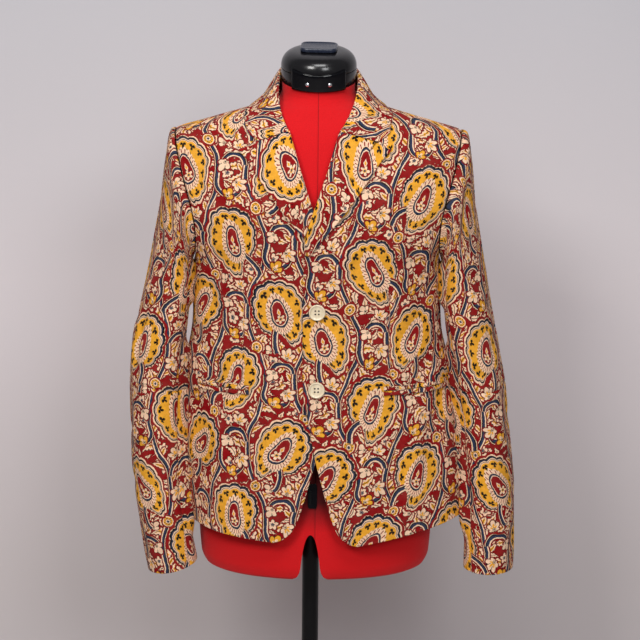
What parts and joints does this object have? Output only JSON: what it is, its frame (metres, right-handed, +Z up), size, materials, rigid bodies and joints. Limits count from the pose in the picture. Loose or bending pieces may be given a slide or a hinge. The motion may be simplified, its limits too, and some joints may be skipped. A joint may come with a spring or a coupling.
{
  "type": "block print blazer on a dress form",
  "caption": "Single-breasted blazer of block-printed cotton with notch lapels, resting on a red limbless dress form with a black neck cap, pole and round base.",
  "frame": {"origin": "on the floor, under the pole, at the middle of the base's underside", "axes": "+Z up, -Y the front of the jacket, +X the wearer's left"},
  "size_m": [0.5629, 0.38, 1.5216],
  "materials": {
    "printed_cotton": "matt block-printed cotton",
    "form_cover": "matt knitted cover",
    "black_plastic": "gloss",
    "black_metal": "satin",
    "ivory_button": "satin",
    "steel": "bright"
  },
  "bodies": {
    "root": {"front_left": "printed_cotton", "front_right": "printed_cotton", "back_left": "printed_cotton", "back_right": "printed_cotton", "lapel_left": "printed_cotton", "lapel_right": "printed_cotton", "collar": "printed_cotton", "collar_stand": "printed_cotton", "sleeve_left_top_upper": "printed_cotton", "sleeve_left_top_lower": "printed_cotton", "sleeve_left_under_upper": "printed_cotton", "sleeve_left_under_lower": "printed_cotton", "pocket_left_upper_welt": "printed_cotton", "pocket_left_lower_welt": "printed_cotton", "sleeve_right_top_upper": "printed_cotton", "sleeve_right_top_lower": "printed_cotton", "sleeve_right_under_upper": "printed_cotton", "sleeve_right_under_lower": "printed_cotton", "pocket_right_upper_welt": "printed_cotton", "pocket_right_lower_welt": "printed_cotton", "button_top": "ivory_button", "button_bottom": "ivory_button", "form_body": "form_cover", "cap_ring": "black_plastic", "cap_dome": "black_plastic", "cap_dial": "black_plastic", "cap_plate": "black_plastic", "cap_screw_1": "steel", "cap_screw_2": "steel", "pole": "black_metal", "base_plate": "black_metal", "base_hub": "black_metal"}
  },
  "joints": []
}
